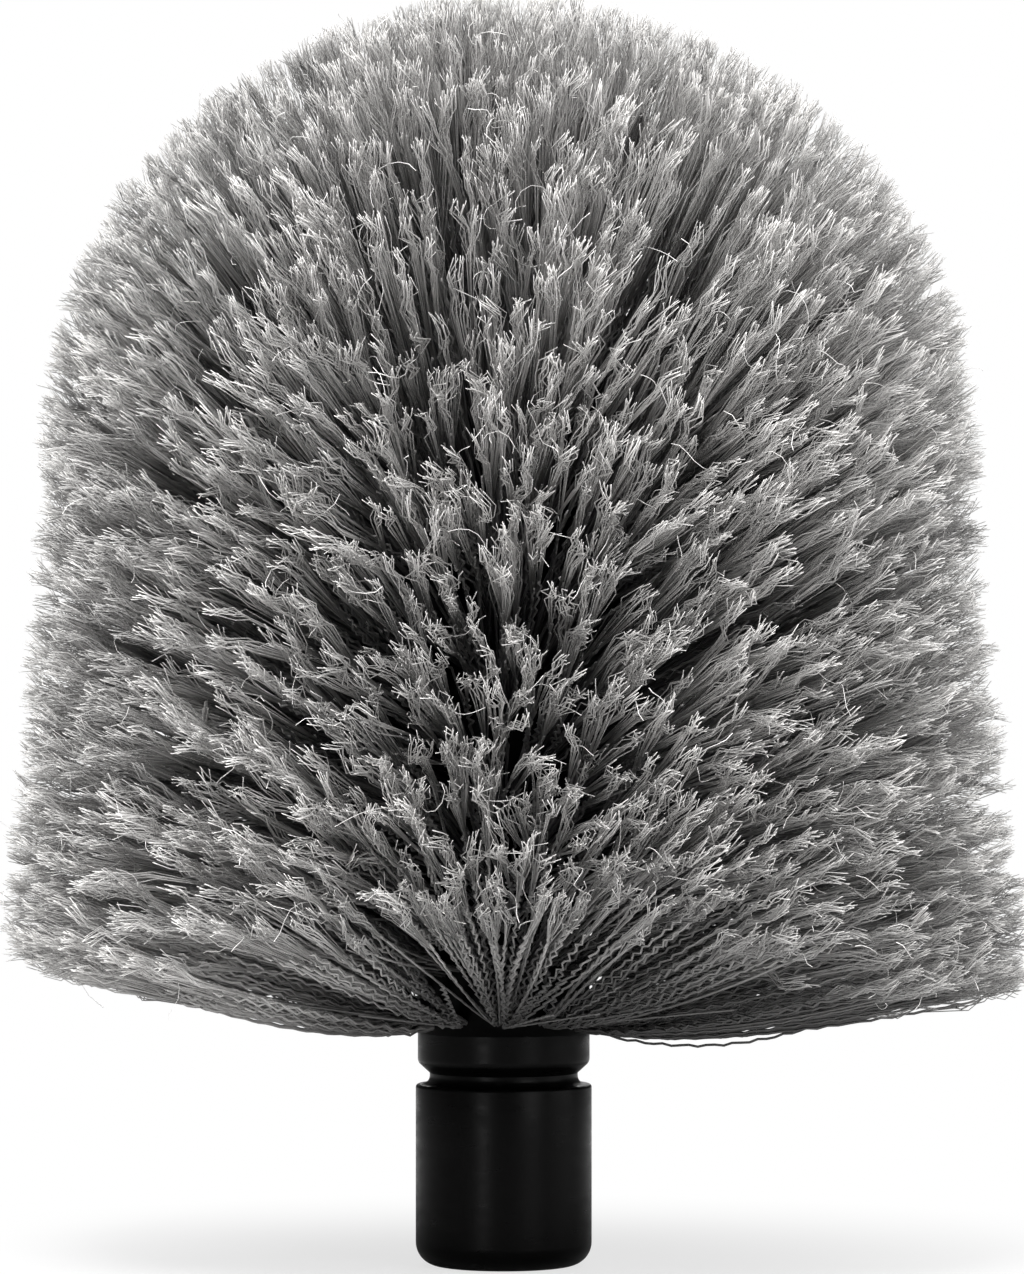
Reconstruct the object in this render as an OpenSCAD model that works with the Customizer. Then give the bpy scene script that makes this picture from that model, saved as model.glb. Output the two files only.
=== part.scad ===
// Cobweb brush head: a drilled core set with rows of tufts, on a socket that screws on to a pole.
// Millimetres, +Z up along the pole, origin at the centre of the socket's mouth.

/* [Socket] */
// Outside diameter of the barrel
barrel_d = 34; // [33:0.5:38]
// Height of the barrel, from its mouth to the groove
barrel_h = 35; // [34:1:45]
// Radius of the barrel's rounded bottom edge
barrel_edge_r = 4.5; // [2:0.5:5]
// Radius of the barrel's top edge
barrel_top_r = 0.6; // [0.3:0.1:0.8]
// Diameter of the neck, above the barrel
neck_d = 28.6; // [26:0.2:30]
// Height of the neck
neck_h = 2.2; // [2:0.1:4]
// Radius of the hollow from the neck down to the barrel
neck_foot_r = 1.6; // [0.6:0.1:1.6]
// Diameter of the pole hole, at the crests of its thread
pole_hole_d = 16.2; // [14:0.1:18]
// Depth of the pole hole
pole_hole_depth = 28; // [20:1:28]
// Diameter of the stud that carries the core
stud_d = 14; // [12:0.5:15]
// Width of the stud across its two flats, which stop the core from turning
stud_flats = 11; // [9:0.5:12]
// Height of the stud above the neck
stud_h = 20; // [14:1:28]

/* [Socket screw] */
// Diameter of the screw's head
screw_head_d = 9; // [8:0.5:10]
// Height of the screw's head
screw_head_h = 3; // [2.5:0.1:3.5]
// Diameter of the screw's shank inside the stud
screw_shank_d = 4; // [3:0.1:4.5]
// Diameter of the screw's threaded end, at the root of its thread
screw_root_d = 3; // [2.5:0.1:3]
// Length of the screw's threaded end, which bites into the core
screw_grip = 14; // [8:1:20]

/* [Core] */
// How much narrower the collar and the core are than the barrel
collar_step = 0.8; // [0:0.1:0.8]
// Height of the collar's slanted lower edge
collar_slant_h = 2.1; // [1.5:0.1:3]
// Height of the collar's plain side
collar_h = 5.7; // [3:0.1:10]
// Radius between the collar's slanted edge and its plain side
collar_edge_r = 1.5; // [0.3:0.1:1.8]
// Height of the core's straight part, above the collar
core_straight = 73; // [68:1:80]
// Height of the core's domed end
core_dome = 34; // [30:1:38]
// Thickness of the outer layer of the core that each row of tufts is fused to
skin_t = 1.6; // [1.2:0.1:2]

/* [Tufts] */
// Tufts in each row round the straight part
row_tufts = 12; // [8:1:12]
// Diameter of a tuft's hole
hole_d = 4.2; // [3.6:0.1:4.4]
// Depth of a tuft's hole below the core's surface
hole_depth = 6.5; // [5.5:0.1:7]
// Angle of the lowest tufts above the horizontal, in degrees
low_angle = 11; // [5:1:16]
// Angle of the highest tufts of the straight part above the horizontal, in degrees
high_angle = 26; // [20:1:34]
// Height of the lowest row of tufts above the collar
first_row = 3.2; // [2.8:0.1:4]
// Strands in a tuft
strands = 3; // [2:1:3]
// Strands in a tuft of the crown, the rows above the lowest domed one
crown_strands = 6; // [4:1:6]
// Distance that a tuft's strands spread from its middle, at their tips
splay = 9; // [4:0.5:11]
// Radius of a strand where it is thickest
strand_r = 2.2; // [1.2:0.1:2.3]
// Sideways wave of the crimped strands
crimp = 0.8; // [0:0.1:1.2]

/* [Tuft anchors] */
// Thickness of the flat wire that holds a tuft in its hole
anchor_t = 0.5; // [0.3:0.1:0.7]
// Width of the flat wire, along the hole
anchor_w = 1.8; // [1.2:0.1:2]
// Distance that an anchor's ends bite into the wall of the hole
anchor_bite = 0.4; // [0.2:0.1:0.5]

/* [Trimmed outline] */
// Width of the brush across its lowest tufts
brush_d = 194; // [160:1:220]
// Height of the whole brush
brush_h = 245; // [235:1:260]
// Height at which the brush is widest
wide_h = 66; // [60:1:75]
// Height at which the sides start to round over
shoulder_h = 150; // [130:1:160]
// How much narrower the brush is at the shoulder than at its widest
brush_taper = 13; // [0:1:30]

/* [Clearances] */
// Gap round the stud in the core
stud_gap = 0.15; // [0.1:0.05:0.3]
// Gap round the screw's shank, head and threaded end
screw_gap = 0.2; // [0.1:0.05:0.3]
// Gap between the core and the rows round it
skin_gap = 0.1; // [0.05:0.05:0.2]
// Gap round a tuft's root and its anchor
root_gap = 0.1; // [0.05:0.05:0.15]

/* [Hidden] */
$fn = 96;
side_rows = 8;
dome_rows = 5;
rows = side_rows + dome_rows;
// Heights up the axis
neck_z = barrel_h + neck_h;
collar_z = neck_z + collar_slant_h;
drill_z = collar_z + collar_h;
straight_z = drill_z + core_straight;
row_pitch = (core_straight - first_row) / (side_rows - 0.5);
stud_z = neck_z + stud_h;
head_z = pole_hole_depth + screw_head_h + screw_gap;
screw_z = stud_z + screw_grip;
// The collar's slanted edge, and the middle of the round above it
core_d = barrel_d - collar_step;
slant_angle = atan2(collar_slant_h, (core_d - neck_d) / 2);
round_x = core_d / 2 - collar_edge_r;
round_z = collar_z + collar_edge_r * tan(45 - slant_angle / 2);
upright = 90;
halvings = 14;
// The domed rows crowd a little towards the top and lean over faster than they climb
dome_crowding = 1.2;
dome_leaning = 1.4;
side_leaning = 1.3;
// Strands spread wider and are thicker on the dome, where the rows' tips lie farther apart:
// the topmost tuft's, as shares of the room between the core's top and the trimmed height
crown_room = brush_h - straight_z - core_dome;
crown_splay = 0.2032 * crown_room;
crown_r = 0.0355 * crown_room;
dome_growth = 1.5;
// Every other strand of the crown spreads to this share
inner_share = 0.5;
// The trimmed shoulder is a superellipse of this power
shoulder_power = 2.2;
// A tuft's root stands out of the core before its strands part
root_out = 1.5;
root_inset = 0.2;
loop_t = 0.8;
anchor_l = hole_d + 2 * anchor_bite;
anchor_at = hole_depth - root_inset - loop_t - root_gap - anchor_w / 2;
root_r = hole_d / 2 - root_gap;
strand_root_at = 0.55 * root_r;
root_share = 0.42;
crown_root_share = 0.25;
// Where a strand's rings lie along it, as shares of its length, and how thick it is half-way
ring_at = [0, 0.46, 0.92];
half_way_share = 0.68;
last_ring = len(ring_at) - 1;
trim_share = 0.03;
arc_steps = 6;
margin = 1;
black = "#262628";
grey = "#8d8c8a";
steel = "#b8b8bc";

// Points of the hollow at the foot of the neck, and of the round above the collar's slanted edge
function foot_point(n) =
    let (turn = upright * n / arc_steps)
    [neck_d / 2 + neck_foot_r * (1 - sin(turn)), barrel_h + neck_foot_r * (1 - cos(turn))];
function collar_point(n) =
    let (turn = (upright - slant_angle) * (1 - n / arc_steps))
    [round_x + collar_edge_r * cos(turn), round_z - collar_edge_r * sin(turn)];

// Turn of row k from the core's side to its top, in degrees
function row_turn(k) = k < side_rows
    ? 0
    : upright * pow((k - side_rows + 0.5) / (dome_rows - 0.5), dome_crowding);

// Radius and height at which row k leaves the core
function row_r(k) = core_d / 2 * cos(row_turn(k));
function row_z(k) = k < side_rows
    ? drill_z + first_row + k * row_pitch
    : straight_z + core_dome * sin(row_turn(k));

// Angle of the holes of row k above the horizontal, in degrees
function row_angle(k) = k < side_rows
    ? low_angle + (high_angle - low_angle) * pow(k / (side_rows - 1), side_leaning)
    : high_angle + (upright - high_angle) * pow(row_turn(k) / upright, dome_leaning);

function row_count(k) = max(1, round(row_tufts * cos(row_turn(k))));
function row_growth(k) = pow(row_turn(k) / upright, dome_growth);
function row_splay(k) = splay + (crown_splay - splay) * row_growth(k);
function row_strands(k) = k > side_rows ? crown_strands : strands;

// How thick the strands of row k are at each of their rings
function row_rings(k) =
    let (thick = strand_r + (crown_r - strand_r) * row_growth(k))
    [(k > side_rows ? crown_root_share : root_share) * root_r, half_way_share * thick, thick];

// Rows are staggered, so that a tuft stands over the gap below it
function tuft_turn(k, i) = 360 / row_count(k) * (i + (k % 2) / 2);

// Lower edge of row k's slice of the skin: a height on the side, and a turn on the dome
function edge_z(k) = k == 0 ? drill_z : min(straight_z, row_z(k) - row_pitch / 2);
function edge_turn(k) = k <= side_rows ? 0 : k == rows ? upright : (row_turn(k - 1) + row_turn(k)) / 2;

// A point of the domed end, inset below the surface
function dome_point(turn, inset) =
    [(core_d / 2 - inset) * cos(turn), straight_z + (core_dome - inset) * sin(turn)];
function dome_arc(from, to, inset) =
    [for (n = [0 : arc_steps]) dome_point(from + (to - from) * n / arc_steps, inset)];

// Radius of the trimmed brush at height z
function outline_r(z) =
    let (
        side = brush_d / 2 - brush_taper / 2 * (z - wide_h) / (shoulder_h - wide_h),
        over = min(1, max(0, (z - shoulder_h) / (brush_h - shoulder_h)))
    )
    side * pow(1 - pow(over, shoulder_power), 1 / shoulder_power);

// Radius and height of a point in the frame of a tuft's hole, whose z runs out along it
function out_from(k, p) =
    let (angle = row_angle(k), across = row_r(k) + p.z * cos(angle) + p.x * sin(angle))
    [norm([across, p.y]), row_z(k) + p.z * sin(angle) - p.x * cos(angle)];
function within(k, p) = let (q = out_from(k, p)) q[1] < brush_h && q[0] < outline_r(q[1]);

// Length at which a strand that ends at side meets the trimmed outline, found by halving
function trimmed(k, side, low, high, tries) =
    tries == 0 ? low : let (middle = (low + high) / 2)
    within(k, [side.x, side.y, middle])
        ? trimmed(k, side, middle, high, tries - 1)
        : trimmed(k, side, low, middle, tries - 1);

// Corners of strand j of tuft i of row k: rings of three, and a pointed tip
function strand_points(k, i, j) =
    let (
        lean = 360 * j / row_strands(k) + (k > side_rows ? 0 : upright * (k % 2)) + 180,
        out = [cos(lean), sin(lean)],
        chance = rands(-1, 1, 2, 1000 * k + 10 * i + j),
        spread = row_splay(k) * (k > side_rows && j % 2 == 1 ? inner_share : 1),
        rings = row_rings(k),
        full = trimmed(k, spread * out, 0, brush_h, halvings),
        length = full * (1 - trim_share * (1 + chance[0]) / 2),
        across = [-out.y, out.x]
    )
    concat(
        [for (n = [0 : last_ring]) for (m = [0 : 2])
            let (
                share = ring_at[n],
                wave = crimp * (n == 0 ? 0 : n % 2 == 0 ? 1 : -1) * sign(chance[1]),
                middle = (strand_root_at + (spread - strand_root_at) * share) * out + wave * across,
                corner = middle + rings[n] * [cos(lean + 120 * m), sin(lean + 120 * m)]
            )
            [corner.x, corner.y, n == 0 ? root_out - margin : root_out + share * (length - root_out)]],
        [[spread * out.x, spread * out.y, length]]
    );
strand_faces = concat(
    [[0, 1, 2]],
    [for (n = [0 : last_ring - 1]) for (m = [0 : 2])
        let (a = 3 * n + m, b = 3 * n + (m + 1) % 3) [a, a + 3, b + 3]],
    [for (n = [0 : last_ring - 1]) for (m = [0 : 2])
        let (a = 3 * n + m, b = 3 * n + (m + 1) % 3) [a, b + 3, b]],
    [for (m = [0 : 2]) [3 * last_ring + m, 3 * last_ring + 3, 3 * last_ring + (m + 1) % 3]]
);

// Puts its children at the mouth of a tuft's hole, with z out along the hole and x down the core
module at_tuft(k, i) {
    rotate([0, 0, tuft_turn(k, i)])
        translate([row_r(k), 0, row_z(k)])
            rotate([0, upright - row_angle(k), 0])
                children();
}

// Box of an anchor, wider by gap all round
module anchor_box(gap) {
    translate([0, 0, -anchor_at])
        cube([anchor_l + 2 * gap, anchor_t + 2 * gap, anchor_w + 2 * gap], center = true);
}

// The stud, wider by gap all round and longer by more at its foot
module stud(gap, more) {
    intersection() {
        cylinder(d = stud_d + 2 * gap, h = stud_h + gap + more);
        translate([-stud_flats / 2 - gap, -stud_d, 0])
            cube([stud_flats + 2 * gap, 2 * stud_d, stud_h + gap + more]);
    }
}

module socket() {
    color(black)
    difference() {
        union() {
            rotate_extrude()
                difference() {
                    square([barrel_d / 2, barrel_h]);
                    translate([barrel_d / 2 - barrel_edge_r, -margin])
                        square([barrel_edge_r + margin, barrel_edge_r + margin]);
                    translate([barrel_d / 2 - barrel_top_r, barrel_h - barrel_top_r])
                        square(barrel_top_r + margin);
                }
            rotate_extrude()
                translate([barrel_d / 2 - barrel_edge_r, barrel_edge_r])
                    intersection() {
                        circle(r = barrel_edge_r);
                        translate([0, -barrel_edge_r])
                            square(barrel_edge_r);
                    }
            rotate_extrude()
                translate([barrel_d / 2 - barrel_top_r, barrel_h - barrel_top_r])
                    intersection() {
                        circle(r = barrel_top_r);
                        square(barrel_top_r);
                    }
            rotate_extrude()
                polygon(concat(
                    [
                        [0, barrel_h - margin],
                        [foot_point(1).x, barrel_h - margin]
                    ],
                    [for (n = [1 : arc_steps]) foot_point(n)],
                    [
                        [neck_d / 2, neck_z],
                        [0, neck_z]
                    ]
                ));
            translate([0, 0, neck_z - margin])
                stud(0, margin);
        }
        translate([0, 0, -margin])
            cylinder(d = pole_hole_d, h = pole_hole_depth + margin);
        cylinder(d = screw_head_d + 2 * screw_gap, h = head_z);
        cylinder(d = screw_shank_d + 2 * screw_gap, h = stud_z + margin);
    }
}

// Pan head with a cross recess, plain shank and threaded end, standing with its head down
module socket_screw() {
    color(steel)
    difference() {
        union() {
            translate([0, 0, head_z - screw_head_h])
                cylinder(d = screw_head_d, h = screw_head_h);
            translate([0, 0, head_z - margin])
                cylinder(d = screw_shank_d, h = stud_z - head_z + margin);
            translate([0, 0, stud_z - margin])
                cylinder(d = screw_root_d, h = screw_grip + margin);
        }
        for (turn = [0, 90])
            rotate([0, 0, turn])
                translate([-screw_head_d / 4, -screw_head_d / 16, head_z - screw_head_h - margin])
                    cube([screw_head_d / 2, screw_head_d / 8, screw_head_h / 2 + margin]);
    }
}

module core() {
    color(black)
    difference() {
        rotate_extrude()
            polygon(concat(
                [
                    [0, neck_z],
                    [neck_d / 2, neck_z]
                ],
                [for (n = [0 : arc_steps]) collar_point(n)],
                [
                    [core_d / 2, drill_z],
                    [core_d / 2 - skin_t - skin_gap, drill_z]
                ],
                dome_arc(0, upright, skin_t + skin_gap)
            ));
        translate([0, 0, neck_z - margin])
            stud(stud_gap, margin);
        cylinder(d = screw_root_d + 2 * screw_gap, h = screw_z + screw_gap);
        for (k = [0 : rows - 1])
            for (i = [0 : row_count(k) - 1])
                at_tuft(k, i) {
                    translate([0, 0, -hole_depth])
                        cylinder(d = hole_d, h = hole_depth);
                    anchor_box(root_gap);
                }
    }
}

// Row k: its slice of the skin, the roots that fill the holes, and the strands
module tuft_row(k) {
    color(grey)
    difference() {
        union() {
            rotate_extrude()
                polygon(k < side_rows
                    ? [
                        [core_d / 2 - skin_t, edge_z(k)],
                        [core_d / 2, edge_z(k)],
                        [core_d / 2, edge_z(k + 1)],
                        [core_d / 2 - skin_t, edge_z(k + 1)]
                    ]
                    : concat(
                        dome_arc(edge_turn(k), edge_turn(k + 1), 0),
                        dome_arc(edge_turn(k + 1), edge_turn(k), skin_t)
                    ));
            for (i = [0 : row_count(k) - 1])
                at_tuft(k, i) {
                    translate([0, 0, root_inset - hole_depth])
                        cylinder(r = root_r, h = hole_depth - root_inset + root_out);
                    for (j = [0 : row_strands(k) - 1])
                        polyhedron(strand_points(k, i, j), strand_faces);
                }
        }
        for (i = [0 : row_count(k) - 1])
            at_tuft(k, i)
                anchor_box(root_gap);
    }
}

module tuft_anchors() {
    color(steel)
    for (k = [0 : rows - 1])
        for (i = [0 : row_count(k) - 1])
            at_tuft(k, i)
                anchor_box(0);
}

socket();
socket_screw();
core();
tuft_anchors();
for (k = [0 : rows - 1])
    tuft_row(k);
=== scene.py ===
import math
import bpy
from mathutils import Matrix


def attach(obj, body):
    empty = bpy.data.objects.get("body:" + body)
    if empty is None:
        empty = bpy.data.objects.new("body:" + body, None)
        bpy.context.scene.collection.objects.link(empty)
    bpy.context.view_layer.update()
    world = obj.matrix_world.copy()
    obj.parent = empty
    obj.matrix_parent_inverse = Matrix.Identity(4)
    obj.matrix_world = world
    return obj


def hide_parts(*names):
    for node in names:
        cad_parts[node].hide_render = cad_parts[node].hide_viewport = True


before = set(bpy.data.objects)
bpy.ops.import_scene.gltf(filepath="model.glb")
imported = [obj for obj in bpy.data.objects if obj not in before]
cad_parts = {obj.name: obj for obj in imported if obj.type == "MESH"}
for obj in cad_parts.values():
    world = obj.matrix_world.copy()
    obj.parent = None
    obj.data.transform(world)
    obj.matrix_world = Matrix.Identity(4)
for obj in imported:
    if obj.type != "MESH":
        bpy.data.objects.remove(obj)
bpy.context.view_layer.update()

from types import SimpleNamespace
import bpy
import numpy as np

mm = 0.001

# camera level with the middle of the brush, 1.2 m in front of it
camera = {"place": (0.0016, -1.2, 0.1213), "lens": 175.5}
cameraData = bpy.data.cameras.new("camera")
cameraData.lens = camera["lens"]
cameraData.sensor_width = 36
cameraData.clip_start = 0.05
cameraData.clip_end = 20
cameraObject = bpy.data.objects.new("camera", cameraData)
cameraObject.location = camera["place"]
cameraObject.rotation_euler = (math.pi / 2, 0, 0)
bpy.context.collection.objects.link(cameraObject)
bpy.context.scene.camera = cameraObject
bpy.context.scene.view_settings.view_transform = "Standard"


# --- node helpers

def newMaterial(name):
    material = bpy.data.materials.new(name)
    material.use_nodes = True
    material.node_tree.nodes.clear()
    return material


def addNode(tree, kind, inputs=None, **settings):
    node = tree.nodes.new(kind)
    for key, value in settings.items():
        setattr(node, key, value)
    for key, value in (inputs or {}).items():
        if isinstance(value, bpy.types.NodeSocket):
            tree.links.new(value, node.inputs[key])
        else:
            node.inputs[key].default_value = value
    return node


def grey(value, warm=0.0):
    return (value * (1 + warm), value, value * (1 - warm), 1)


def setRamp(node, stops):
    ramp = node.color_ramp
    while len(ramp.elements) > 1:
        ramp.elements.remove(ramp.elements[-1])
    ramp.elements[0].position = stops[0][0]
    ramp.elements[0].color = stops[0][1]
    for position, colour in stops[1:]:
        ramp.elements.new(position).color = colour


# --- floor, surroundings and lamps

studio = {
    "ambient": 0.12,
    "floor": 0.75,
    "floorGlow": 0.7,
    "floorFade": (0.03, 0.16),
    "lamps": [
        # name, place, size, watts
        ("key", (-0.2, -1.25, 1.75), 0.7, 62),
        ("fill", (1.2, -1.6, 0.5), 0.9, 13),
        ("back", (0.2, 1.8, 0.8), 1.0, 12),
        ("strip", (-0.72, -1.45, 0.08), 0.16, 3.4),
        ("top", (0.1, 0.0, 1.7), 1.1, 3),
        ("rimLeft", (-1.4, 0.1, 0.35), 0.8, 0.3),
        ("rimRight", (1.4, -0.2, 0.3), 1.0, 5),
    ],
}


def aimAt(thing, target):
    direction = np.array(target) - np.array(thing.location)
    flat = math.hypot(direction[0], direction[1])
    thing.rotation_euler = (math.atan2(flat, -direction[2]), 0, math.atan2(-direction[0], direction[1]))


for name, place, size, watts in studio["lamps"]:
    lamp = bpy.data.lights.new(name, "AREA")
    lamp.shape = "DISK"
    lamp.size = size
    lamp.energy = watts
    lampObject = bpy.data.objects.new(name, lamp)
    lampObject.location = place
    aimAt(lampObject, (0, 0, 0.14))
    lampObject.visible_camera = False
    bpy.context.collection.objects.link(lampObject)

world = bpy.data.worlds.new("surroundings")
bpy.context.scene.world = world
world.use_nodes = True
tree = world.node_tree
tree.nodes.clear()
path = addNode(tree, "ShaderNodeLightPath")
mix = tree.nodes.new("ShaderNodeMix")
mix.data_type = "RGBA"
tree.links.new(path.outputs["Is Camera Ray"], mix.inputs["Factor"])
mix.inputs[6].default_value = grey(studio["ambient"])
mix.inputs[7].default_value = grey(1.0)
back = addNode(tree, "ShaderNodeBackground", {"Color": mix.outputs[2]})
addNode(tree, "ShaderNodeOutputWorld", {"Surface": back.outputs[0]})


def makeFloor():
    # pale matt floor that fades to plain white away from the brush
    half = 3.0
    mesh = bpy.data.meshes.new("floor")
    mesh.from_pydata([(-half, -half, 0), (half, -half, 0), (half, half, 0), (-half, half, 0)], [], [(0, 1, 2, 3)])
    floor = bpy.data.objects.new("floor", mesh)
    bpy.context.collection.objects.link(floor)
    material = newMaterial("floor")
    tree = material.node_tree
    place = addNode(tree, "ShaderNodeTexCoord")
    far = addNode(tree, "ShaderNodeVectorMath", {0: place.outputs["Object"]}, operation="LENGTH")
    near, away = studio["floorFade"]
    fade = addNode(tree, "ShaderNodeMapRange", {"Value": far.outputs["Value"], "From Min": near, "From Max": away,
                                                "To Min": studio["floorGlow"]},
                   interpolation_type="SMOOTHSTEP")
    path = addNode(tree, "ShaderNodeLightPath")
    some = addNode(tree, "ShaderNodeMath", {0: fade.outputs[0], 1: path.outputs["Is Camera Ray"]},
                   operation="MULTIPLY")
    paint = addNode(tree, "ShaderNodeBsdfDiffuse", {"Color": grey(studio["floor"])})
    white = addNode(tree, "ShaderNodeEmission", {"Color": grey(1.0), "Strength": 1.0})
    shade = addNode(tree, "ShaderNodeMixShader", {0: some.outputs[0], 1: paint.outputs[0], 2: white.outputs[0]})
    geometry = addNode(tree, "ShaderNodeNewGeometry")
    clear = addNode(tree, "ShaderNodeBsdfTransparent")
    under = addNode(tree, "ShaderNodeMixShader",
                    {0: geometry.outputs["Backfacing"], 1: shade.outputs[0], 2: clear.outputs[0]})
    addNode(tree, "ShaderNodeOutputMaterial", {"Surface": under.outputs[0]})
    mesh.materials.append(material)


makeFloor()
print("stage: floor, surroundings and lamps")


# --- materials

def makePlastic():
    # black moulded plastic: colour = 0.0006 black, roughness = 0.26 to 0.38 by a soft noise,
    # bump = fine pits + faint rings left by turning
    material = newMaterial("black_plastic")
    tree = material.node_tree
    place = addNode(tree, "ShaderNodeTexCoord")
    flat = addNode(tree, "ShaderNodeMapping", {"Vector": place.outputs["Object"], "Scale": (1, 1, 4)})
    soft = addNode(tree, "ShaderNodeTexNoise", {"Vector": flat.outputs[0], "Scale": 130, "Detail": 4})
    rough = addNode(tree, "ShaderNodeMapRange",
                    {"Value": soft.outputs["Fac"], "From Min": 0.3, "From Max": 0.7, "To Min": 0.26, "To Max": 0.38})
    pits = addNode(tree, "ShaderNodeTexNoise", {"Vector": flat.outputs[0], "Scale": 900, "Detail": 3})
    deep = addNode(tree, "ShaderNodeMapRange",
                   {"Value": pits.outputs["Fac"], "From Min": 0.25, "From Max": 0.42, "To Min": 0, "To Max": 1})
    rings = addNode(tree, "ShaderNodeTexWave", {"Vector": place.outputs["Object"], "Scale": 260, "Distortion": 3,
                                               "Detail": 2, "Detail Scale": 40}, bands_direction="Z")
    height = addNode(tree, "ShaderNodeMath", {0: rings.outputs["Fac"], 1: 0.25, 2: deep.outputs[0]},
                     operation="MULTIPLY_ADD")
    bump = addNode(tree, "ShaderNodeBump", {"Height": height.outputs[0], "Strength": 0.25, "Distance": 0.00004})
    paint = addNode(tree, "ShaderNodeBsdfPrincipled",
                    {"Base Color": grey(0.0006), "Roughness": rough.outputs[0], "Normal": bump.outputs[0],
                     "Specular IOR Level": 0.06})
    addNode(tree, "ShaderNodeOutputMaterial", {"Surface": paint.outputs[0]})
    return material


def makeSteel():
    # drawn wire steel: colour = 0.42 grey, roughness = 0.25 to 0.4 by streaks along z
    material = newMaterial("steel")
    tree = material.node_tree
    place = addNode(tree, "ShaderNodeTexCoord")
    long = addNode(tree, "ShaderNodeMapping", {"Vector": place.outputs["Object"], "Scale": (1, 1, 0.15)})
    streak = addNode(tree, "ShaderNodeTexNoise", {"Vector": long.outputs[0], "Scale": 1500, "Detail": 2})
    rough = addNode(tree, "ShaderNodeMapRange",
                    {"Value": streak.outputs["Fac"], "From Min": 0.3, "From Max": 0.7, "To Min": 0.25, "To Max": 0.4})
    paint = addNode(tree, "ShaderNodeBsdfPrincipled",
                    {"Base Color": grey(0.42), "Metallic": 1.0, "Roughness": rough.outputs[0]})
    addNode(tree, "ShaderNodeOutputMaterial", {"Surface": paint.outputs[0]})
    return material


def makeFilament():
    # grey filament: colour = a grey ramp along the strand (u), 0.03 at the root, 0.42 where it is split
    # and 0.9 at the tip, times 0.5 to 1.5 by the strand's tone (v); the darkening towards the root is painted
    # shade of the brush's crowded inside, and the bright tip is partly the split ends' own lighter grey and partly a
    # painted highlight
    material = newMaterial("grey_filament")
    tree = material.node_tree
    strand = addNode(tree, "ShaderNodeUVMap", uv_map="OFBake")
    parts = addNode(tree, "ShaderNodeSeparateXYZ", {"Vector": strand.outputs[0]})
    along = addNode(tree, "ShaderNodeValToRGB", {"Fac": parts.outputs["X"]})
    # painted shade low on the ramp, painted highlight at its top end
    setRamp(along, [
        (0.0, grey(0.03, 0.02)),
        (0.30, grey(0.07, 0.02)),
        (0.52, grey(0.13, 0.02)),
        (0.66, grey(0.30, 0.02)),
        (0.80, grey(0.39, 0.02)),
        (0.93, grey(0.42, 0.02)),
        (0.965, grey(0.52, 0.02)),
        (0.985, grey(0.8, 0.02)),
        (1.0, grey(0.9, 0.02)),
    ])
    tone = addNode(tree, "ShaderNodeMapRange", {"Value": parts.outputs["Y"], "To Min": 0.5, "To Max": 1.5})
    colour = addNode(tree, "ShaderNodeVectorMath", {0: along.outputs["Color"], "Scale": tone.outputs[0]},
                     operation="SCALE")
    paint = addNode(tree, "ShaderNodeBsdfPrincipled",
                    {"Base Color": colour.outputs[0], "Roughness": 0.45, "Specular IOR Level": 0.45})
    addNode(tree, "ShaderNodeOutputMaterial", {"Surface": paint.outputs[0]})
    return material


plastic = makePlastic()
steel = makeSteel()
filamentMaterial = makeFilament()


# --- mesh helpers

def makePiece(name, points, quads, triangles, uv, material):
    mesh = bpy.data.meshes.new(name)
    corners = np.concatenate([quads.ravel(), triangles.ravel()]).astype(np.int32)
    total = np.concatenate([np.full(len(quads), 4), np.full(len(triangles), 3)]).astype(np.int32)
    start = (np.cumsum(total) - total).astype(np.int32)
    mesh.vertices.add(len(points))
    mesh.vertices.foreach_set("co", (points * mm).astype(np.float32).ravel())
    mesh.loops.add(len(corners))
    mesh.loops.foreach_set("vertex_index", corners)
    mesh.polygons.add(len(total))
    mesh.polygons.foreach_set("loop_start", start)
    mesh.polygons.foreach_set("loop_total", total)
    mesh.polygons.foreach_set("use_smooth", np.ones(len(total), dtype=bool))
    if uv is not None:
        layer = mesh.uv_layers.new(name="OFBake")
        layer.data.foreach_set("uv", uv.astype(np.float32).ravel())
    mesh.materials.append(material)
    mesh.update(calc_edges=True)
    piece = bpy.data.objects.new(name, mesh)
    bpy.context.collection.objects.link(piece)
    return piece


def unit(vectors):
    return vectors / np.maximum(np.linalg.norm(vectors, axis=-1, keepdims=True), 1e-9)


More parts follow.
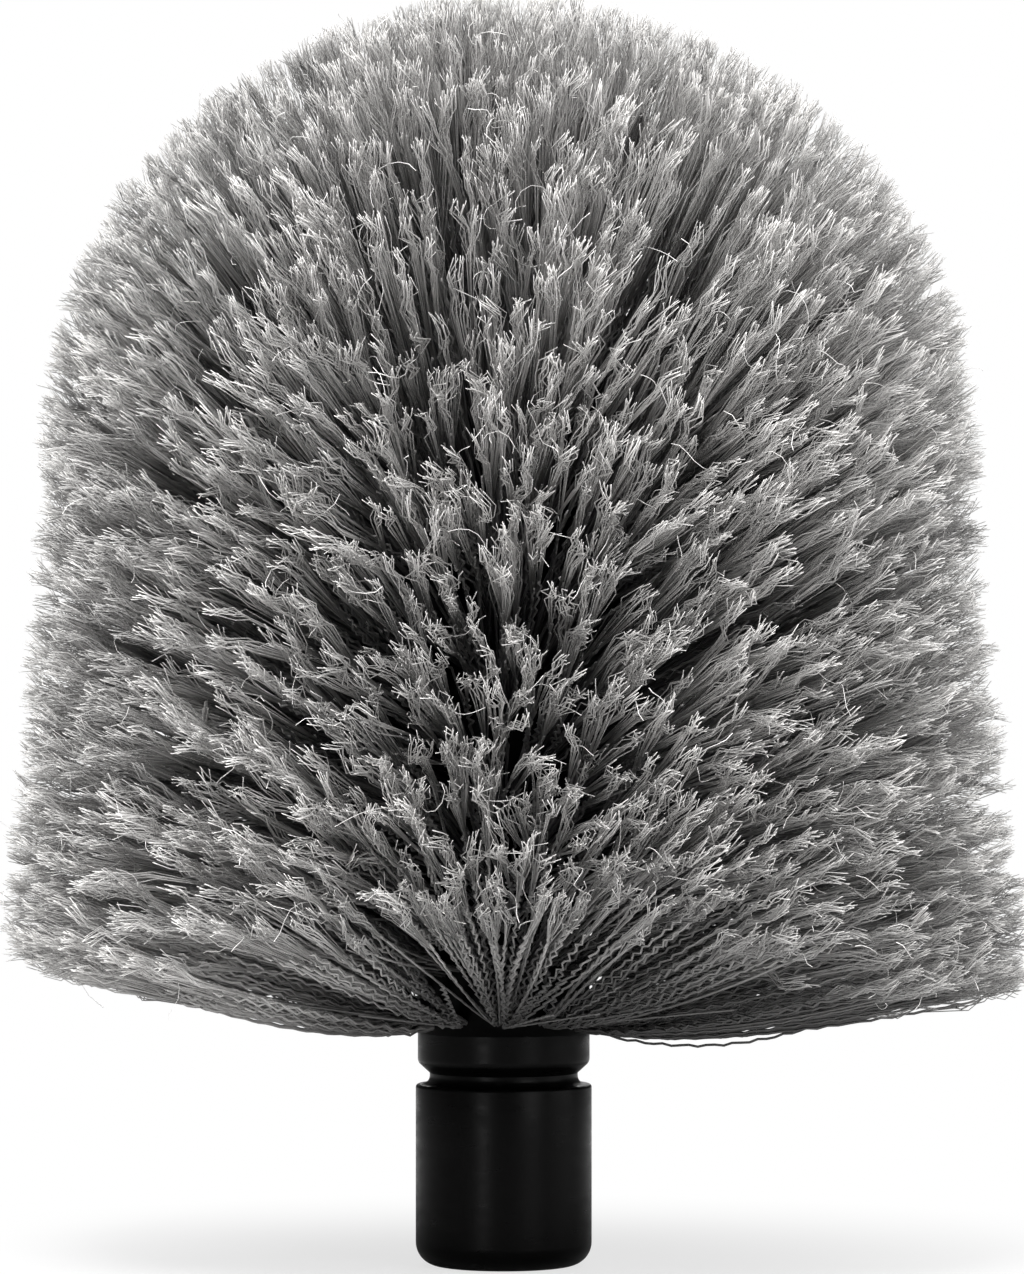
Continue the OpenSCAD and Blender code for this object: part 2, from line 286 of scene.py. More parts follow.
def makeTubes(centres, radii, reference, along, tone):
    # three-sided tubes round many paths at once, each with a flat foot and a pointed tip;
    # the last centre of a path is its tip
    count, rings = radii.shape
    tangent = unit(np.gradient(centres, axis=1))
    side = reference[:, None, :] - np.sum(reference[:, None, :] * tangent, axis=-1, keepdims=True) * tangent
    side = unit(side)
    other = np.cross(tangent, side)
    turn = np.arange(3) * 2 * np.pi / 3
    ring = (centres[:, :rings, None, :]
            + radii[:, :, None, None] * (np.cos(turn)[None, None, :, None] * side[:, :rings, None, :]
                                         + np.sin(turn)[None, None, :, None] * other[:, :rings, None, :]))
    points = np.concatenate([ring.reshape(count, rings * 3, 3), centres[:, rings:rings + 1]], axis=1)
    size = rings * 3 + 1
    r, m = np.meshgrid(np.arange(rings - 1), np.arange(3), indexing="ij")
    n = (m + 1) % 3
    quad = np.stack([3 * r + m, 3 * r + n, 3 * r + 3 + n, 3 * r + 3 + m], axis=-1).reshape(-1, 4)
    last = 3 * (rings - 1)
    triangle = np.array([[0, 2, 1], [last, last + 1, last + 3], [last + 1, last + 2, last + 3],
                         [last + 2, last, last + 3]])
    base = np.arange(count)[:, None, None] * size
    quads = (quad[None] + base).reshape(-1, 4)
    triangles = (triangle[None] + base).reshape(-1, 3)
    # u runs along the strand, v is its tone, with a little width for each side
    wide = 0.004
    low = along[:, :rings - 1, None]
    high = along[:, 1:rings, None]
    left = tone[:, None, None] + wide * np.arange(3)[None, None, :]
    right = left + wide
    shape = (count, rings - 1, 3)
    quadUv = np.stack([
        np.stack([np.broadcast_to(u, shape), np.broadcast_to(v, shape)], -1)
        for u, v in [(low, left), (low, right), (high, right), (high, left)]], axis=3)
    foot = np.stack([
        np.stack([along[:, 0], tone], -1),
        np.stack([along[:, 0] + 0.01, tone + wide], -1),
        np.stack([along[:, 0], tone + 2 * wide], -1),
    ], axis=1)[:, None]
    ends = np.stack([
        np.stack([np.stack([along[:, rings - 1], tone + wide * m], -1),
                  np.stack([along[:, rings - 1], tone + wide * (m + 1)], -1),
                  np.stack([along[:, rings], tone + wide * (m + 0.5)], -1)], axis=1)
        for m in range(3)], axis=1)
    triangleUv = np.concatenate([foot, ends], axis=1)
    return points.reshape(-1, 3), quads, triangles, quadUv.reshape(-1, 2), triangleUv.reshape(-1, 2)


def joinTubes(parts):
    shift = 0
    points, quads, triangles, quadUv, triangleUv = [], [], [], [], []
    for p, q, t, qu, tu in parts:
        points.append(p)
        quads.append(q + shift)
        triangles.append(t + shift)
        quadUv.append(qu)
        triangleUv.append(tu)
        shift += len(p)
    uv = np.concatenate(quadUv + triangleUv)
    return np.concatenate(points), np.concatenate(quads), np.concatenate(triangles), uv


# --- the brush as it is drilled and trimmed, in millimetres and degrees

brush = {
    "sideRows": 8,
    "domeRows": 5,
    "rowTufts": 12,
    "coreRadius": 16.6,
    "collarTop": 45.0,
    "straight": 73.0,
    "dome": 34.0,
    "skin": 1.6,
    "firstRow": 3.2,
    "lowAngle": 11.0,
    "highAngle": 26.0,
    "width": 194.0,
    "height": 246.0,
    "widest": 66.0,
    "shoulder": 150.0,
    "taper": 13.0,
    "power": 2.2,
    # the trimmed outline isn't quite even: shifts to the right, extra radius, and a rounded lower left edge
    "aside": 1.2,
    "lowAside": 0.9,
    "lowPartTop": 130,
    "fuller": 1.6,
    "lowFuller": 2.2,
    "crownFuller": 3.4,
    "leftRound": 0.25,
    "leftRoundTop": 66,
}
rows = brush["sideRows"] + brush["domeRows"]
straightTop = brush["collarTop"] + brush["straight"]


def rowTurn(k):
    if k < brush["sideRows"]:
        return 0.0
    return 90 * ((k - brush["sideRows"] + 0.5) / (brush["domeRows"] - 0.5)) ** 1.2


def rowPlace(k):
    turn = math.radians(rowTurn(k))
    if k < brush["sideRows"]:
        pitch = (brush["straight"] - brush["firstRow"]) / (brush["sideRows"] - 0.5)
        return brush["coreRadius"], brush["collarTop"] + brush["firstRow"] + k * pitch
    return brush["coreRadius"] * math.cos(turn), straightTop + brush["dome"] * math.sin(turn)


def rowAngle(k):
    low, high = brush["lowAngle"], brush["highAngle"]
    if k < brush["sideRows"]:
        return low + (high - low) * (k / (brush["sideRows"] - 1)) ** 1.3
    return high + (90 - high) * (rowTurn(k) / 90) ** 1.4


def rowCount(k):
    return max(1, round(brush["rowTufts"] * math.cos(math.radians(rowTurn(k)))))


def outlineRadius(z):
    # a taper below the shoulder, a flattened arch above it, and a little fuller low down and at the crown
    side = brush["width"] / 2 - brush["taper"] / 2 * (z - brush["widest"]) / (brush["shoulder"] - brush["widest"])
    over = np.clip((z - brush["shoulder"]) / (brush["height"] - brush["shoulder"]), 0, 1)
    lowPart = np.clip((brush["lowPartTop"] - z) / 60, 0, 1)
    fuller = (brush["fuller"] * (1 - over ** 6) + brush["lowFuller"] * lowPart
              + brush["crownFuller"] * np.sin(np.pi * over))
    return side * (1 - over ** brush["power"]) ** (1 / brush["power"]) + fuller


def asideAt(z):
    # how far the outline's middle stands to the right
    lowPart = np.clip((brush["lowPartTop"] - z) / 50, 0, 1)
    return brush["aside"] * np.clip((z - 50) / 30, 0, 1) + brush["lowAside"] * lowPart


def trimmedLength(start, out, tip):
    # length at which each filament meets the trimmed outline, found by halving 16 times
    low = np.zeros(len(start))
    high = np.full(len(start), brush["height"])
    for step in range(16):
        middle = (low + high) / 2
        point = start + out * middle[:, None] + tip
        across = np.hypot(point[:, 0] - asideAt(point[:, 2]), point[:, 1])
        # the lower edge is rounded on the left and square on the right
        rounded = (brush["leftRound"] * np.clip(brush["leftRoundTop"] - point[:, 2], 0, 20) ** 1.8
                   * np.clip(0.5 - point[:, 0] / np.maximum(across, 1), 0, 1))
        inside = (point[:, 2] < brush["height"]) & (across + rounded < outlineRadius(point[:, 2]))
        low = np.where(inside, middle, low)
        high = np.where(inside, high, middle)
    return low


# --- tufts

# millimetres; a list of 13 goes by rows from the lowest, a pair is a least and a most value
tufts = {
    # filaments and clumps in a tuft of the lowest spread, more by the square of the spread
    "filaments": 30,
    "lowFilaments": 1.9,
    "frontShare": 0.45,
    "clumps": 10,
    "spread": [15, 15, 15, 15, 15, 15, 15, 15.5, 18, 23, 25, 28, 23],
    "clumpSpread": [4.5, 3.8, 3.2, 3.0, 3.0, 3.0, 3.0, 3.0, 3.4, 3.4, 3.4, 3.4, 3.4],
    "clumpScatter": 0.09,
    "rootRadius": 1.8,
    # the lowest rows
    "lowFlat": 0.2,
    "lowWide": 1.4,
    "rootDrop": 1.5,
    "lowSag": 11.0,
    "rightDroop": 5.2,
    "frontLift": [14, 11, 6, 2],
    # how far the tips stay inside the trimmed outline
    "shortTuft": 0.5,
    "shortClump": [3.0, 3.0, 2.8, 2.8, 2.8, 2.8, 2.8, 2.8, 2.2, 1.6, 1.2, 1.0, 0.8],
    "shortFilament": [0.9, 0.9, 0.9, 0.9, 0.9, 0.9, 0.9, 0.9, 0.7, 0.6, 0.6, 0.5, 0.5],
    "deepShare": 0.13,
    "deep": [4, 19],
    "clumpBend": 2.2,
    "filamentBend": 0.9,
    "lowCalm": 0.35,
    # bare stalks: shares of the length, then the crimp
    "split": 0.66,
    "splitScatter": 0.035,
    "lowBare": 0.08,
    "rightBare": 0.19,
    "mostBare": 0.9,
    "stalkRadius": 0.28,
    "crimp": 0.5,
    "crimpLength": 4.8,
    "crimpRings": [36, 34],
    "crests": 8,
    # tone from 0 to 1; then painted light, lighter in front and behind and darker at the sides, and painted shade,
    # how much darker the lowest right side is
    "clumpTone": 0.13,
    "filamentTone": 0.12,
    "lowFilamentTone": 0.24,
    "fibrilTone": 0.19,
    # painted light: tone lighter in front and behind, darker at the left and right sides
    "paintedFrontLight": 0.15,
    "paintedShadeTone": 0.5,
    "paintedShadeAlong": 0.36,
    "fibrils": 8,
    "fibrilRings": 5,
    "fibrilRadius": 0.133,
    "fibrilSpread": 1.2,
    "fibrilWave": 0.38,
    "fibrilZigzag": 0.42,
    "fibrilStep": 3.5,
    "fibrilEnd": 0.35,
    "fibrilShort": 0.018,
    "lockWave": 0.55,
    "lockWaves": 5.5,
    "strays": 6,
    "strayRings": 6,
    "strayLength": [4, 11],
    "strayCurl": [0.4, 3.2],
    "strayRadius": [0.055, 0.08],
    "innerStalks": 12,
    "innerRings": 28,
    "innerLength": 45,
    "innerLift": [6, 8, 12],
    "innerLiftMost": 42,
    "mostTriangles": 190000,
}
up = np.array([0.0, 0.0, 1.0])
fullTurn = 2 * np.pi
goldenTurn = 2.39996


def around(turn):
    # outward and sideways at each turn round z
    flat = np.zeros(len(turn))
    return np.stack([np.cos(turn), np.sin(turn), flat], -1), np.stack([-np.sin(turn), np.cos(turn), flat], -1)


def layRow(k, rng):
    # where each filament of a row starts, where it points, how long it is and how it bends
    count = rowCount(k)
    spread = tufts["spread"][k]
    more = (spread / tufts["spread"][0]) ** 2
    clumps = round(tufts["clumps"] * more)
    each = round(tufts["filaments"] * more * (tufts["lowFilaments"] if k == 0 else 1))
    angle = math.radians(rowAngle(k))
    radius, height = rowPlace(k)

    tuft = np.repeat(np.arange(count), each)
    clump = np.tile(np.arange(each) % clumps, count)
    if k == 0:
        # fewer in front
        keep = (np.sin(fullTurn / count * tuft) > -0.8) | (rng.uniform(0, 1, len(tuft)) < tufts["frontShare"])
        tuft, clump = tuft[keep], clump[keep]
    turn = fullTurn / count * (tuft + (k % 2) / 2)
    outward, side = around(turn)
    out = math.cos(angle) * outward + math.sin(angle) * up
    down = math.sin(angle) * outward - math.cos(angle) * up
    start = radius * outward + height * up

    # clumps lie in a sunflower pattern over the tuft's part of the outline
    place = np.arange(clumps) + 0.5
    swirl = place[None] * goldenTurn + rng.uniform(0, fullTurn, count)[:, None]
    reach = spread * np.sqrt(place / clumps)[None]
    clumpAt = np.stack([reach * np.cos(swirl), reach * np.sin(swirl)], axis=-1)
    clumpAt += rng.normal(0, tufts["clumpScatter"] * spread, clumpAt.shape)
    at = clumpAt[tuft, clump] + rng.normal(0, tufts["clumpSpread"][k], (len(tuft), 2))

    front = np.clip(-np.sin(turn), 0, 1)
    right = np.clip(np.cos(turn), 0, 1)
    nearRight = np.clip(np.cos(turn) + 0.2, 0, 1)
    sag = np.zeros(len(tuft))
    droop = np.zeros(len(tuft))
    bare = np.full(len(tuft), tufts["lowBare"] if k < 2 else 0.0)
    paintedShade = np.zeros(len(tuft))
    if k == 0:
        # the lowest tufts are flat below and spread sideways; their undermost filaments sag,
        # and those on the right hang lower and are bare for longer, and painted shade makes them darker
        at[:, 0] = np.where(at[:, 0] > 0, tufts["lowFlat"] * at[:, 0], at[:, 0])
        at[:, 1] *= tufts["lowWide"]
        start = start - tufts["rootDrop"] * up
        low = np.clip(1 + at[:, 0] / 9, 0, 1)
        sag = tufts["lowSag"] * low * (1 - 0.6 * front)
        droop = tufts["rightDroop"] * (0.75 + 0.25 * low) * right
        bare += tufts["rightBare"] * nearRight
        paintedShade = nearRight * (0.4 + 0.6 * low)
    if 0 < k < 5:
        droop = tufts["rightDroop"] * (0.95 - 0.2 * k) * right
    if 0 < k < 4:
        # painted shade darkens the right side of the next rows too
        paintedShade = (1.05 - 0.22 * k) * nearRight * np.clip(0.5 + at[:, 0] / 8, 0, 1)
    if k < len(tufts["frontLift"]):
        # in front the lowest tufts stand up more
        at[:, 0] -= tufts["frontLift"][k] * front ** 2.5
    tip = at[:, :1] * down + at[:, 1:] * side
    rootAt = 1.4 * at / spread + rng.normal(0, 0.35, at.shape)
    rootAt *= np.minimum(1, tufts["rootRadius"] / np.linalg.norm(rootAt, axis=1))[:, None]
    root = rootAt[:, :1] * down + rootAt[:, 1:] * side

    short = (rng.uniform(0, tufts["shortTuft"], count)[tuft]
             + (tufts["shortClump"][k] * rng.uniform(0, 1, (count, clumps)) ** 1.8)[tuft, clump]
             + rng.exponential(tufts["shortFilament"][k], len(tuft)).clip(0, 14)
             + (rng.uniform(0, 1, len(tuft)) < tufts["deepShare"] * (0.5 if k > 8 else 1))
             * rng.uniform(*tufts["deep"], len(tuft)))
    length = trimmedLength(start, out, tip) - short
    calm = tufts["lowCalm"] if k == 0 else 1
    clumpBend = calm * rng.normal(0, tufts["clumpBend"], (count, clumps, 2))[tuft, clump]
    ownBend = calm * rng.normal(0, tufts["filamentBend"], (len(tuft), 2))
    ownPhase = rng.uniform(0, fullTurn, len(tuft))
    return SimpleNamespace(
        k=k, count=count, clumps=clumps, more=more, radius=radius, height=height, tuft=tuft, clump=clump, turn=turn,
        out=out, side=side, down=down, start=start, at=at, tip=tip, root=root, length=length, sag=sag, droop=droop,
        bare=bare, paintedShade=paintedShade, clumpBend=clumpBend, ownBend=ownBend, ownPhase=ownPhase,
        reference=unit(down + 0.3 * side))


def pathAt(row, s, pick):
    # points at shares s of the picked filaments: straight out, spreading as s ** 1.12, bent by a half wave
    # for the clump and a whole wave for the filament, less the sag, s ** 0.6 (1 - s), and the droop, s ** 0.9
    s = s[:, :, None]

    def of(values):
        return values[pick].reshape(len(pick), 1, -1)

    hang = of(row.sag) * np.clip(s, 0, 1) ** 0.6 * (1 - s) + of(row.droop) * np.abs(s) ** 0.9
    bend = of(row.clumpBend) * np.sin(np.pi * s) + of(row.ownBend) * s * np.sin(2 * np.pi * s + of(row.ownPhase))
    return (of(row.start) + of(row.root) * (1 - s) + of(row.out) * of(row.length) * s
            + of(row.tip) * np.abs(s) ** 1.12
            + bend[:, :, :1] * of(row.down) + bend[:, :, 1:] * of(row.side) - hang * up)


def makeStalks(row, rng):
    # bare crimped stalks, up to where the filaments are split
    k, tuft, clump, total = row.k, row.tuft, row.clump, len(row.tuft)
    table = (row.count, row.clumps)
    end = np.minimum(tufts["split"] + rng.normal(0, tufts["splitScatter"], total) + row.bare, tufts["mostBare"])
    lean = (rng.uniform(0, fullTurn, table)[tuft, clump] + rng.normal(0, 0.35, total))[:, None]
    phase = rng.uniform(0, fullTurn, table)[tuft, clump] + rng.normal(0, 0.3, total)
    if k < len(tufts["crimpRings"]):
        s = -0.02 + (end[:, None] + 0.02) * np.linspace(0, 1, tufts["crimpRings"][k] + 1)[None]
        wave = np.sin(2 * np.pi * s * row.length[:, None] / tufts["crimpLength"] + phase[:, None])
        wave = wave * np.clip(s / 0.05, 0, 1)
    else:
        # higher up only the outer part shows: one ring at each crest of its last waves
        half = tufts["crimpLength"] / 2
        waves = end * row.length / half - phase / np.pi
        crest = np.floor(waves)[:, None] - np.arange(tufts["crests"] - 1, -1, -1)[None]
        crestAt = (crest + phase[:, None] / np.pi) * half / row.length[:, None]
        sign = np.where(crest % 2 == 0, 1.0, -1.0)
        last = sign[:, -1:] * (1 - 2 * (waves - np.floor(waves)))[:, None]
        s = np.concatenate([np.full((total, 1), -0.02), 0.5 * crestAt[:, :1], crestAt, end[:, None]], axis=1)
        wave = np.concatenate([np.zeros((total, 2)), sign, last], axis=1)
    centre = pathAt(row, s, np.arange(total))
    wave = tufts["crimp"] * wave * rng.uniform(0.85, 1.15, total)[:, None]
    wave *= 1 - 0.6 * (row.at[:, :1] > 0.4) * (k == 0)
    across = np.cos(lean)[:, :, None] * row.down[:, None] + np.sin(lean)[:, :, None] * row.side[:, None]
    centre = centre + wave[:, :, None] * across
    radii = tufts["stalkRadius"] * rng.uniform(0.88, 1.1, total)[:, None] * np.ones((1, s.shape[1] - 1))
    own = tufts["lowFilamentTone"] if k < 2 else tufts["filamentTone"]
    # tone: random by clump and filament, less painted shade on the right, plus painted light, lighter in front and
    # behind and darker at the sides
    tone = np.clip(0.5 + tufts["clumpTone"] * rng.normal(size=table)[tuft, clump]
                   + own * rng.normal(size=total) - tufts["paintedShadeTone"] * row.paintedShade
                   + tufts["paintedFrontLight"] * (1 - 2 * np.cos(row.turn) ** 2), 0.05, 0.93)
    shade = np.clip(s, 0, 1)
    if k < 3:
        # painted light lifts the lowest stalks' roots up the ramp, lighter, and painted shade darkens those on the
        # right
        shade = (0.35 - 0.1 * k + (0.65 + 0.1 * k) * shade) * (1 - tufts["paintedShadeAlong"] * row.paintedShade[:, None])
    row.end, row.tone = end, tone
    return centre, radii, row.reference, shade, tone


def makeInner(row, rng):
    # bare stalks fill the room between the fans of the lowest rows, painted dark as the shade inside the brush
    k, rings = row.k, tufts["innerRings"]
    owner = np.repeat(np.arange(row.count), tufts["innerStalks"])
    outer, aside = around(fullTurn / row.count * (owner + (k % 2) / 2))
    total = len(owner)
    lift = np.radians(rng.uniform(tufts["innerLift"][k], tufts["innerLiftMost"], total))
    swing = rng.uniform(-0.5, 0.5, total)
    aim = unit(outer * np.cos(lift)[:, None] + up * np.sin(lift)[:, None] + swing[:, None] * aside)
    across = unit(np.cross(aim, up))
    step = np.linspace(0, 1, rings + 1)[None] * tufts["innerLength"]
    wave = tufts["crimp"] * np.sin(2 * np.pi * step / tufts["crimpLength"] + rng.uniform(0, 6.3, (total, 1)))
    root = row.radius * outer + (row.height - (tufts["rootDrop"] if k == 0 else 0)) * up
    path = root[:, None] + aim[:, None] * step[:, :, None]
    path = path + wave[:, :, None] * across[:, None] * np.clip(step / 4, 0, 1)[:, :, None]
    radii = np.full((total, rings), tufts["stalkRadius"])
    # painted shade: low on the ramp and a low tone, for the dark between the fans
    shade = 0.36 + 0.003 * step * np.ones((total, 1))
    return (path, radii, unit(up + 0.2 * aside), shade, rng.uniform(0.1, 0.6, total)), owner


def makeFibrils(row, rng):
    # fibrils, into which each filament splits
    owner = np.repeat(np.arange(len(row.tuft)), tufts["fibrils"])
    total = len(owner)
    rings = tufts["fibrilRings"]
    first = row.end[owner] - rng.uniform(0.02, 0.13, total)
    final = 1 - tufts["fibrilShort"] * rng.uniform(0, 1, total) ** 1.6
    reach = (final - first) * row.length[owner]
    steps = np.append(np.arange(rings - 2, 0, -1) * tufts["fibrilStep"], tufts["fibrilEnd"])
    t = 1 - steps[None] * rng.uniform(0.85, 1.15, (total, 1)) / reach[:, None]
    t = np.concatenate([np.zeros((total, 1)), t, np.ones((total, 1))], axis=1)
    s = first[:, None] + (final - first)[:, None] * t
    centre = pathAt(row, s, owner)
    # each filament's fibrils wave together, as one lock, and zigzag with the crimp
    lock = rng.normal(0, tufts["lockWave"], (len(row.tuft), 2))[owner]
    lockPhase = rng.uniform(0, fullTurn, len(row.tuft))[owner]
    lockWave = np.sin(2 * np.pi * s * tufts["lockWaves"] + lockPhase[:, None])
    lockAim = rng.uniform(0, fullTurn, len(row.tuft))[owner] + rng.normal(0, 0.4, total)
    zigzag = (tufts["fibrilZigzag"] * rng.uniform(0.5, 1.4, total)[:, None]
              * np.where(np.arange(rings + 1) % 2 == 0, 1, -1)[None] * (t > 0))
    aim = rng.uniform(0, fullTurn, total)
    wide = tufts["fibrilSpread"] * np.sqrt(rng.uniform(0, 1, total)) * rng.uniform(0.7, 1.25, total)
    shift = (wide[:, None] * t ** 0.8)[:, :, None] * np.stack([np.cos(aim), np.sin(aim)], -1)[:, None]
    shift += zigzag[:, :, None] * np.stack([np.cos(lockAim), np.sin(lockAim)], -1)[:, None]
    own = rng.normal(0, tufts["fibrilWave"], (total, rings + 1, 2))
    own[:, -2] += (rng.uniform(0, 1, total) < 0.2)[:, None] * rng.normal(0, 0.8, (total, 2))
    shift += own * (t > 0)[:, :, None] + lock[:, None] * lockWave[:, :, None] * (t > 0)[:, :, None]
    shift[:, -1] = shift[:, -2]
    centre = centre + shift[:, :, :1] * row.down[owner][:, None] + shift[:, :, 1:] * row.side[owner][:, None]
    radii = tufts["fibrilRadius"] * rng.uniform(0.8, 1.15, total)[:, None] * (1 - 0.3 * t[:, :rings])
    tone = np.clip(row.tone[owner] + tufts["fibrilTone"] * rng.normal(size=total), 0.02, 0.95)
    return (centre, radii, row.reference[owner], np.clip(s / final[:, None] * 0.985, 0, 1), tone), owner


def makeStrays(row, rng):
    # stray hairs curl off across the others near their tips, kept near the trimmed outline
    total = round(tufts["strays"] * row.more) * row.count
    rings = tufts["strayRings"]
    owner = rng.integers(0, len(row.tuft), total)
    centre = pathAt(row, rng.uniform(0.8, 0.97, (total, 1)), owner)
    one = unit(0.5 * row.out[owner] + rng.normal(0, 0.5, (total, 3)))
    two = unit(np.cross(one, rng.normal(0, 1, (total, 3))))
    three = np.cross(one, two)
    long = rng.uniform(*tufts["strayLength"], total)[:, None, None]
    curl = rng.uniform(*tufts["strayCurl"], total)[:, None, None]
    along = np.append(np.linspace(0, 0.99, rings), 1.0)[None, :, None]
    centre = centre + long * (np.sin(curl * along) / curl * one[:, None]
                              + (1 - np.cos(curl * along)) / curl * two[:, None]
                              + 0.12 * np.sin(5 * along) * three[:, None])
    aside, top = brush["aside"], brush["height"]
    far = np.hypot(centre[:, :, 0] - aside, centre[:, :, 1])
    most = outlineRadius(np.minimum(centre[:, :, 2], top - 2)) + 3
    shrink = np.minimum(1, most / np.maximum(far, 1e-6))
    centre[:, :, 0] = aside + (centre[:, :, 0] - aside) * shrink
    centre[:, :, 1] *= shrink
    centre[:, :, 2] = np.minimum(centre[:, :, 2], top + 2.5)
    radii = rng.uniform(*tufts["strayRadius"], total)[:, None] * np.ones((1, rings))
    # strays take the ramp's bright tip colour, partly a painted highlight
    shade = np.broadcast_to(0.95 + 0.045 * along[0, :, 0], (total, rings + 1))
    return (centre, radii, three, shade, np.clip(0.8 + 0.1 * rng.normal(size=total), 0.5, 0.95)), owner


def growTufts(k):
    rng = np.random.default_rng(300 + k)
    row = layRow(k, rng)
    # tubes, and the tuft that each tube belongs to
    groups = [(makeStalks(row, rng), row.tuft)]
    inner = [makeInner(row, rng)] if k < 3 else []
    for tubes, owner in [makeFibrils(row, rng), makeStrays(row, rng)]:
        groups.append((tubes, row.tuft[owner]))
    groups += inner

    # the row goes into as many pieces as its triangles need
    cost = sum(len(owner) * (6 * tubes[1].shape[1] - 2) for tubes, owner in groups)
    pieces = math.ceil(cost / tufts["mostTriangles"])
    for piece in range(pieces):
        parts = [makeTubes(*[values[owner % pieces == piece] for values in tubes]) for tubes, owner in groups]
        name = f"tufts_{k + 1:02d}" + ("abc"[piece] if pieces > 1 else "")
        made = makePiece(name, *joinTubes(parts), filamentMaterial)
        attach(made, "root")
        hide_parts(f"tuft_row_{k + 1:02d}")
    return cost


print("tufts:", sum(growTufts(k) for k in range(rows)), "triangles")


# --- the core's skin, which takes the place of the layer that joins each row's tufts

def revolve(name, profile, steps, material):
    # a profile of radius and height turned round z, with a pole at each end
    turn = np.arange(steps) * 2 * np.pi / steps
    middle = profile[1:-1]
    ring = np.stack([middle[:, None, 0] * np.cos(turn), middle[:, None, 0] * np.sin(turn),
                     np.broadcast_to(middle[:, None, 1], (len(middle), steps))], axis=-1)
    points = np.concatenate([ring.reshape(-1, 3), [[0, 0, profile[0, 1]], [0, 0, profile[-1, 1]]]])
    r, a = np.meshgrid(np.arange(len(middle) - 1), np.arange(steps), indexing="ij")
    b = (a + 1) % steps
    quads = np.stack([r * steps + a, (r + 1) * steps + a, (r + 1) * steps + b, r * steps + b], -1).reshape(-1, 4)
    a = np.arange(steps)
    b = (a + 1) % steps
    top = np.stack([np.full(steps, len(points) - 2), a, b], -1)
    low = (len(middle) - 1) * steps
    bottom = np.stack([np.full(steps, len(points) - 1), low + b, low + a], -1)
    return makePiece(name, points, quads, np.concatenate([top, bottom]), None, material)


def makeSkin():
    radius, thick = brush["coreRadius"], brush["skin"]
    turn = np.radians(np.linspace(90, 0, 25))
    outside = np.stack([radius * np.cos(turn), straightTop + brush["dome"] * np.sin(turn)], -1)
    inside = np.stack([(radius - thick) * np.cos(turn), straightTop + (brush["dome"] - thick) * np.sin(turn)], -1)
    foot = np.array([[radius, brush["collarTop"]], [radius - thick, brush["collarTop"]]])
    profile = np.concatenate([outside, foot, inside[::-1]])
    profile[0, 0] = profile[-1, 0] = 0
    skin = revolve("core_skin", profile, 96, plastic)
    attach(skin, "root")
    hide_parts(*[f"tuft_row_{k + 1:02d}" for k in range(rows)])


makeSkin()
print("core: skin")


# --- socket

socket = {
    "radius": 17.0,
    "height": 35.0,
    "bottomEdge": 4.5,
    "topEdge": 0.6,
    "neckRadius": 14.3,
    "neckTop": 37.2,
    "neckFoot": 1.6,
    "studRadius": 7.0,
    "studHalfFlats": 5.5,
    "studTop": 57.2,
    "shankHole": 2.2,
    "headHole": 4.7,
    "headTop": 31.2,
    "poleHole": 8.1,
    "poleDepth": 28.0,
    # 3/4 inch, 5 turns to the inch
    "threadCrest": 9.5,
    "threadPitch": 5.08,
    "threadRuns": 24.5,
}


def quarter(centre, radius, begin, end, steps):
    turn = np.radians(np.linspace(begin, end, steps))
    return np.stack([centre[0] + radius * np.cos(turn), centre[1] + radius * np.sin(turn)], -1)


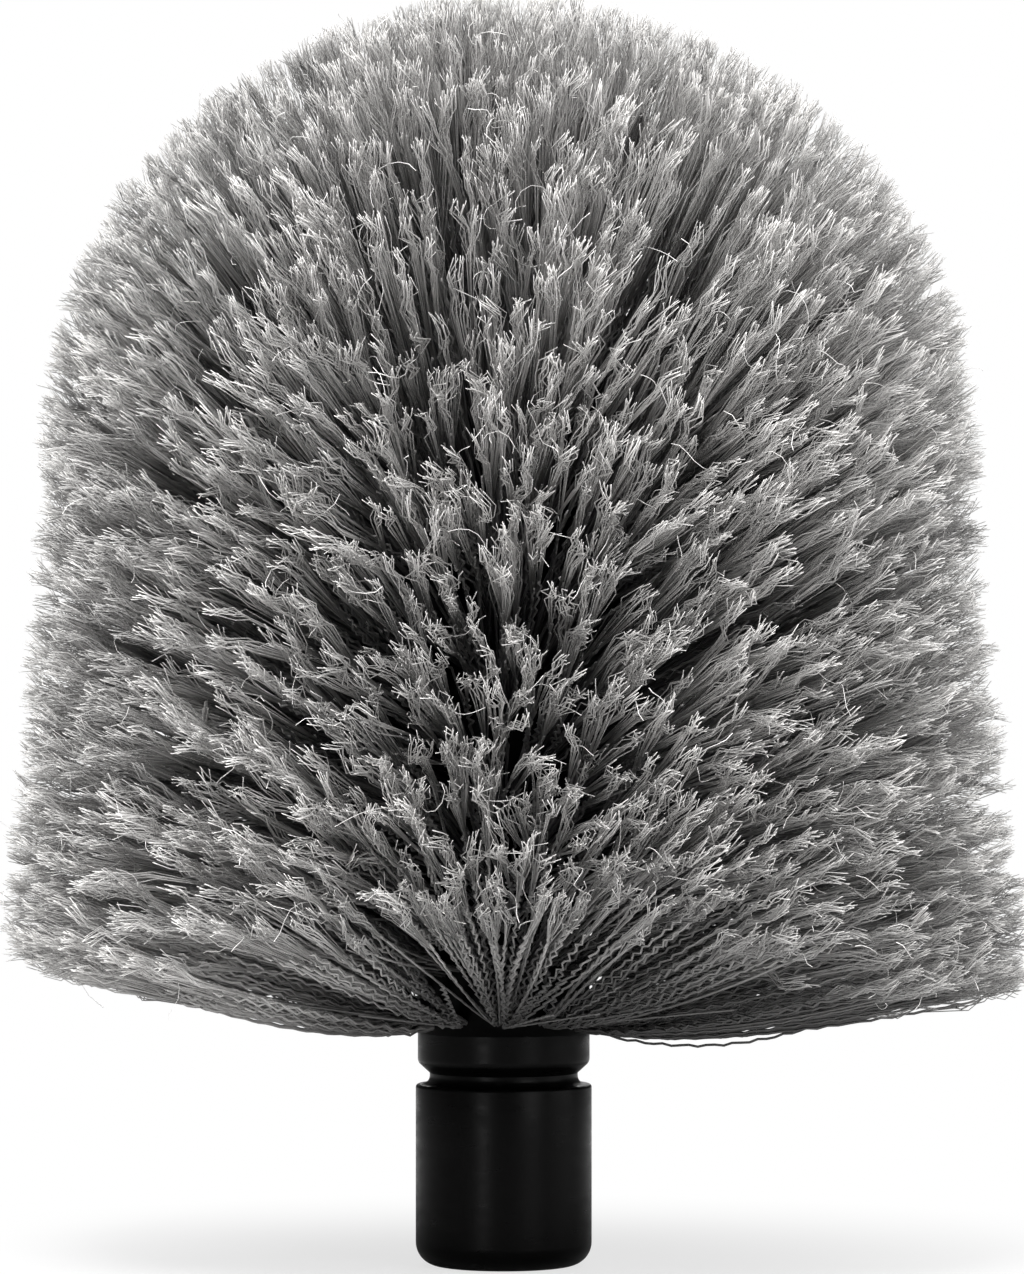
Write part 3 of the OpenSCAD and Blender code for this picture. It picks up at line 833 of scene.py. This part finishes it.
def makeSocket():
    # one closed section turned round z: outside from the mouth up to the stud, then down the bore;
    # thread: r = pole hole + depth * trapezium(z / pitch - turn), running out at its upper end
    steps, boreRings, chamfer = 128, 96, 1.2
    radius, edge, top = socket["radius"], socket["bottomEdge"], socket["topEdge"]
    neck, foot, pole = socket["neckRadius"], socket["neckFoot"], socket["poleHole"]
    bore = np.linspace(socket["poleDepth"], chamfer, boreRings)
    outside = np.concatenate([
        [[pole + chamfer, 0], [11, 0]],
        quarter((radius - edge, edge), edge, -90, 0, 14),
        [[radius, 12], [radius, 24]],
        quarter((radius - top, socket["height"] - top), top, 0, 90, 6),
        quarter((neck + foot, socket["height"] + foot), foot, -90, -180, 8),
        [[neck, socket["neckTop"]]],
    ])
    stud = np.array([[socket["studRadius"], socket["neckTop"]], [socket["studRadius"], socket["studTop"] - 0.3],
                     [socket["studRadius"] - 0.3, socket["studTop"]]])
    inside = np.array([[socket["shankHole"], socket["studTop"]], [socket["shankHole"], socket["headTop"]],
                       [socket["headHole"], socket["headTop"]], [socket["headHole"], socket["poleDepth"]]])
    hole = np.stack([np.full(len(bore), pole), bore], -1)
    profile = np.concatenate([outside, stud, inside, hole])
    turn = np.arange(steps) * 2 * np.pi / steps
    radius = np.broadcast_to(profile[:, None, 0], (len(profile), steps)).copy()
    height = np.broadcast_to(profile[:, None, 1], (len(profile), steps)).copy()

    # the stud's two flats
    first = len(outside)
    flat = socket["studHalfFlats"] / np.maximum(np.abs(np.cos(turn)), 1e-6)
    for n in range(first, first + 3):
        radius[n] = np.minimum(radius[n], flat - (profile[first, 0] - profile[n, 0]))

    # the thread
    first = len(profile) - len(bore)
    place = (height[first:] / socket["threadPitch"] - turn[None] / (2 * np.pi)) % 1
    tooth = np.clip((np.abs(place - 0.5) * 2 - 0.22) / 0.5, 0, 1)
    running = np.clip((socket["threadRuns"] - height[first:]) / 1.5, 0, 1)
    radius[first:] += (socket["threadCrest"] - pole) * tooth * running
    radius[first:] = np.maximum(radius[first:], pole + chamfer - height[first:])

    points = np.stack([radius * np.cos(turn), radius * np.sin(turn), height], -1).reshape(-1, 3)
    r, a = np.meshgrid(np.arange(len(profile)), np.arange(steps), indexing="ij")
    n = (r + 1) % len(profile)
    b = (a + 1) % steps
    quads = np.stack([r * steps + a, r * steps + b, n * steps + b, n * steps + a], -1).reshape(-1, 4)
    made = makePiece("socket_turned", points, quads, np.zeros((0, 3), dtype=int), None, plastic)
    made.data.set_sharp_from_angle(angle=math.radians(38))
    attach(made, "root")
    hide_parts("socket")


makeSocket()
print("socket: barrel, neck, stud and thread")


# --- carried-over nodes

for node, material in [("core", plastic), ("socket", plastic), ("socket_screw", steel), ("tuft_anchors", steel)]:
    shown = bpy.data.objects[node]
    for slot in shown.material_slots:
        slot.material = material
